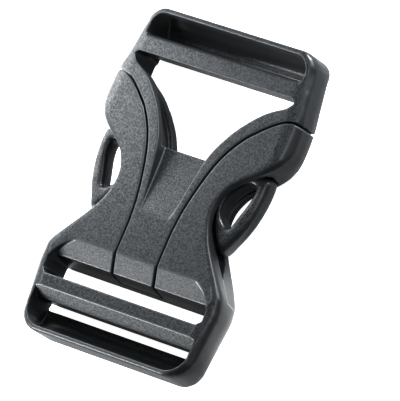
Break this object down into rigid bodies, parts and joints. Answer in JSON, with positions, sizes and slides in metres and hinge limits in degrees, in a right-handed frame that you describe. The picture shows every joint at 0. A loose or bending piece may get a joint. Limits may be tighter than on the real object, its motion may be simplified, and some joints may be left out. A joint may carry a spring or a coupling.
{
  "type": "side release buckle",
  "caption": "Side release buckle for wide webbing, fastened: a plug with spring arms and finger rings, a flared socket, a fixed strap bar and a ladder-lock end.",
  "frame": {"origin": "centre of the footprint, on the flat back face that the buckle lies on", "axes": "+X along the strap bars, +Y from the socket's end bar to the plug's end bar, +Z out of the front face"},
  "size_m": [0.0644, 0.0942, 0.012],
  "materials": {
    "acetal_plug": "grained front faces, satin edges",
    "acetal_socket": "grained front faces, satin edges"
  },
  "bodies": {
    "root": {"plug": "acetal_plug", "socket": "acetal_socket"}
  },
  "joints": []
}
